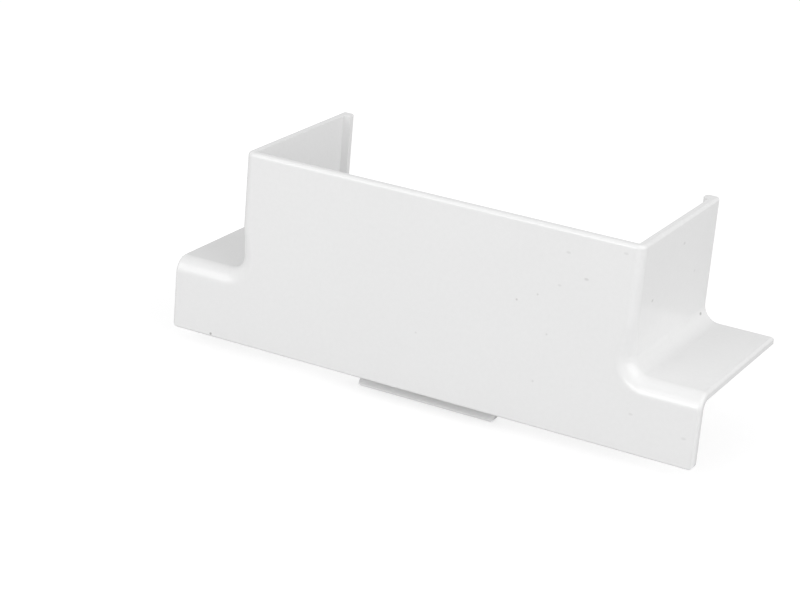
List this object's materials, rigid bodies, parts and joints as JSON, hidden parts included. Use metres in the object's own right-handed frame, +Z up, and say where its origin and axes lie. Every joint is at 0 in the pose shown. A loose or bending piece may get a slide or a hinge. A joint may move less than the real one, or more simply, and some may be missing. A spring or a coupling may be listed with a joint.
{
  "type": "trunking tee cover",
  "caption": "One-piece clip-on tee cover for surface cable trunking: a square hood for the rising branch, with two low arms over the run.",
  "frame": {"origin": "on the wall plane, midway between the two arms, level with the front plate's lower edge", "axes": "+X along the run, +Y out of the fitting's open back into the wall, +Z up the branch"},
  "size_m": [0.1414, 0.0485, 0.0534],
  "materials": {
    "white_pvc": "satin white moulded PVC"
  },
  "bodies": {
    "root": {"tee_cover": "white_pvc"}
  },
  "joints": []
}
